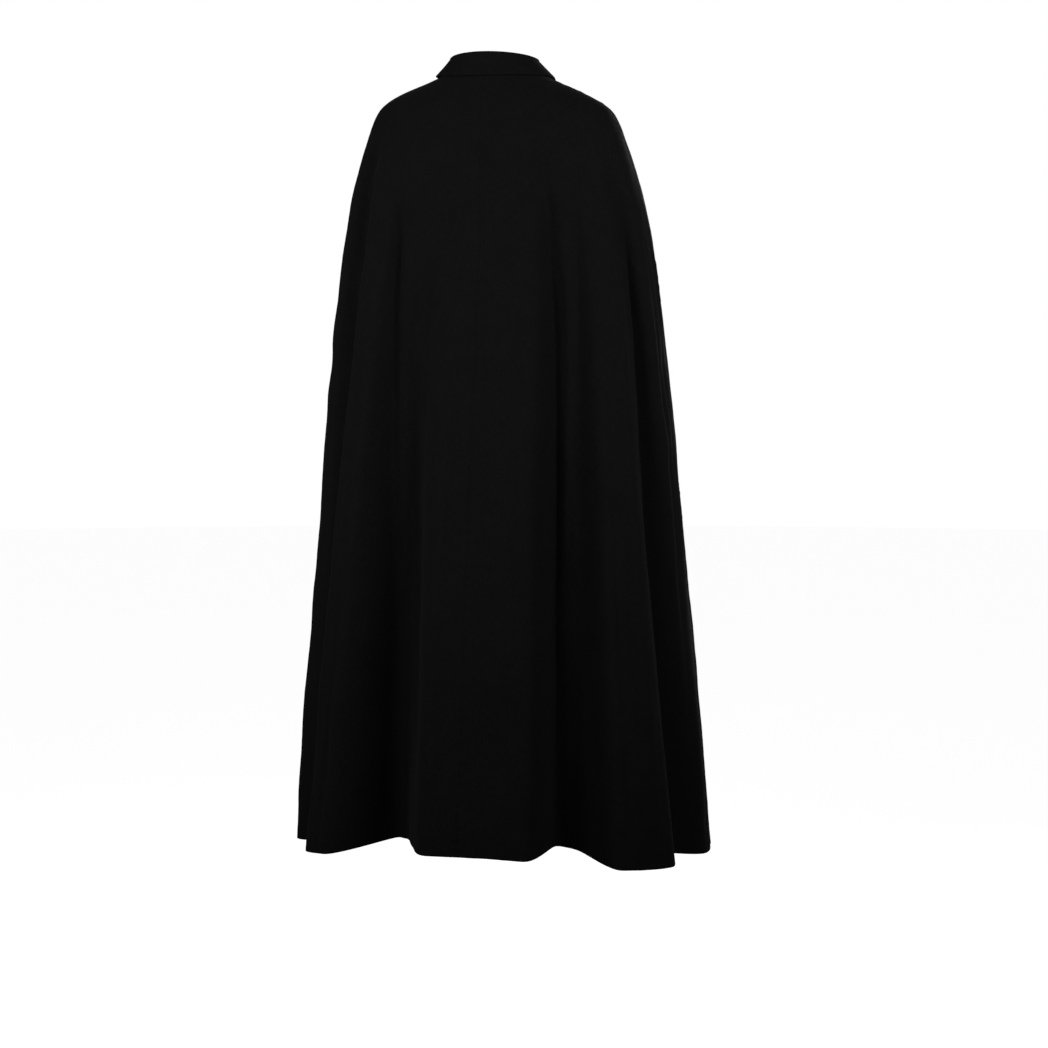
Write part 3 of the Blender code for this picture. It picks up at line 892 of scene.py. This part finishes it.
def button_thread(material):
    """The button's sewing thread: two bars of three strands through its holes."""
    base, across, up, out = button_frame()
    mesh = bmesh.new()
    for right in (1, -1):
        for strand in (-1, 0, 1):
            path = []
            for k in range(THREAD_STEPS + 1):
                share = k / THREAD_STEPS
                high = HOLE_PLACE * math.cos(math.pi * share)
                crown = THREAD_CROWN * math.sin(math.pi * share)
                dip = THREAD_DIP * max(abs(share - 0.5) - THREAD_DIP_FROM, 0.0) / THREAD_DIP_OVER
                lift = BUTTON_THICK * BUTTON_DISH + THREAD_LIFT + crown - dip
                side = right * HOLE_PLACE + strand * THREAD_APART
                path.append(base + across * side + up * high + out * lift)
            tube(mesh, path, [THREAD_RADIUS] * len(path), THREAD_SIDES)
    bmesh.ops.recalc_face_normals(mesh, faces=mesh.faces)
    return joined("button_thread", mesh, material)


def buttonhole(material):
    """The worked buttonhole that the button passes through: purl stitches round a slit, barred at its end."""
    base, across, up, out = button_frame()
    mesh = bmesh.new()
    start = base - out * SEAM_GAP + across * SLIT_START
    for side in (1, -1):
        for k in range(PURLS):
            share = (k + 0.5) / PURLS
            place = start - across * SLIT_LENGTH * share + up * side * SLIT_HALF * PURL_ROOT
            tip = place + up * side * (SLIT_HALF * PURL_REACH + PURL_UNEVEN * math.sin(k * PURL_WAVE))
            knot = place + out * PURL_KNOT
            crown = knot.lerp(tip, PURL_CROWN_AT) + out * PURL_CROWN
            path = (place - out * PURL_DEPTH, knot, crown, tip - out * PURL_TIP)
            tube(mesh, path, PURL_RADII, STITCH_SIDES)
    for k in range(BARS):
        place = start - across * (SLIT_LENGTH + BAR_APART * (k + 1))
        path = [place + up * high + out * lift for high, lift in BAR_POINTS]
        tube(mesh, path, BAR_RADII, STITCH_SIDES)
    bmesh.ops.recalc_face_normals(mesh, faces=mesh.faces)
    return joined("buttonhole_stitches", mesh, material)


# ---------------------------------------------------------------- the cloak
def edge(place, sign, azimuth, centre, turn=0.0):
    """A panel's edge at a place near a centre: its azimuth, moved a way into the panel. turn is added."""
    return lambda way, drops: azimuth(place + sign * way, drops, centre) + turn


wool = wool_material("black_melton", (0.0062, 0.0062, 0.0063), (0.0150, 0.0150, 0.0151))
horn = button_material()
thread = thread_material()
half_gap = SHOWN_GAP / 2
PANELS = (
    # name, edge at the start, edge at the end, whether each edge is sewn, whether it is the upper layer
    ("back_left", edge(half_gap, 1, azimuth_side, LEFT), edge(half_gap, 1, azimuth_at, BACK),
     True, True, False),
    ("back_right", edge(-half_gap, -1, azimuth_at, BACK), edge(half_gap, 1, azimuth_side, RIGHT),
     True, True, False),
    ("front_right", edge(-half_gap, -1, azimuth_side, RIGHT), edge(LAP_HALF, -1, azimuth_at, FRONT),
     True, False, True),
    ("front_left", edge(-LAP_HALF, 1, azimuth_at, FRONT), edge(-half_gap, -1, azimuth_side, LEFT, 360.0),
     False, True, False),
)
for name, *form in PANELS:
    piece = dress(panel(name + "_cloth", *form, wool), name)
piece = dress(collar(wool), "collar")
dress(button(horn), "button")
dress(button_thread(thread), None)
dress(buttonhole(thread), None)


# ---------------------------------------------------------------- stage, light and camera
def unlit_by(piece):
    """A stage piece that throws no light on the cloak."""
    piece.visible_diffuse = False
    piece.visible_glossy = False
    piece.visible_transmission = False


def floor():
    """A plain white studio floor that takes a faint shadow."""
    bpy.ops.mesh.primitive_circle_add(vertices=96, radius=FLOOR_REACH, fill_type="NGON",
                                      location=(0, 0, FLOOR_Z))
    made = bpy.context.object
    made.name = "studio_floor"
    surface, _, shader = start_material("studio_white")
    shader.inputs["Base Color"].default_value = (0.6, 0.6, 0.6, 1.0)
    shader.inputs["Roughness"].default_value = 0.8
    shader.inputs["Specular IOR Level"].default_value = 0.0
    shader.inputs["Emission Color"].default_value = (1.0, 1.0, 1.0, 1.0)
    shader.inputs["Emission Strength"].default_value = 0.97
    made.data.materials.append(surface)
    unlit_by(made)


def dome():
    """The white surround behind the cloak."""
    bpy.ops.mesh.primitive_uv_sphere_add(segments=48, ring_count=24, radius=DOME_REACH)
    made = bpy.context.object
    made.name = "studio_surround"
    surface, tree, _ = start_material("surround_white")
    glow = node(tree, "ShaderNodeEmission", {"Color": (1.0, 1.0, 1.0, 1.0), "Strength": 1.0})
    tree.links.new(glow.outputs["Emission"], tree.nodes["Material Output"].inputs["Surface"])
    made.data.materials.append(surface)
    made.visible_shadow = False
    unlit_by(made)


def camera():
    """The camera: behind the wearer, 16 degrees round, at the height of the waist."""
    data = bpy.data.cameras.new("camera")
    data.sensor_width = SENSOR_WIDTH
    data.lens = data.sensor_width * FOCAL_SHARE
    made = bpy.data.objects.new("camera", data)
    made.location = VIEW_TOWARD * CAMERA_DISTANCE + Vector((0.0, 0.0, CAMERA_HEIGHT))
    aim = VIEW_RIGHT * AIM_RIGHT + Vector((0.0, 0.0, AIM_HEIGHT))
    made.rotation_euler = (aim - made.location).to_track_quat("-Z", "Y").to_euler()
    bpy.context.scene.collection.objects.link(made)
    bpy.context.scene.camera = made


def world():
    """A dim, even light from all round."""
    made = bpy.data.worlds.new("even_light")
    made.use_nodes = True
    background = made.node_tree.nodes["Background"]
    background.inputs["Color"].default_value = (1.0, 1.0, 1.0, 1.0)
    background.inputs["Strength"].default_value = AMBIENT
    bpy.context.scene.world = made


def softbox(name, azimuth, height, power):
    """A rectangular area light at an azimuth, that looks in at the cloak."""
    light = bpy.data.lights.new(name, "AREA")
    light.shape = "RECTANGLE"
    light.size, light.size_y = LAMP_SIZE
    light.energy = power
    lamp = bpy.data.objects.new(name, light)
    turn = math.radians(azimuth)
    lamp.location = Vector((LAMP_REACH * math.cos(turn), LAMP_REACH * math.sin(turn), height))
    aim = Vector((0.0, 0.0, height - LAMP_AIM_DROP))
    lamp.rotation_euler = (aim - lamp.location).to_track_quat("-Z", "Y").to_euler()
    lamp.visible_camera = False
    bpy.context.scene.collection.objects.link(lamp)


floor()
dome()
for lamp in LAMPS:
    softbox(*lamp)
camera()
world()
bpy.context.scene.view_settings.view_transform = "Standard"
bpy.context.scene.view_settings.look = "None"
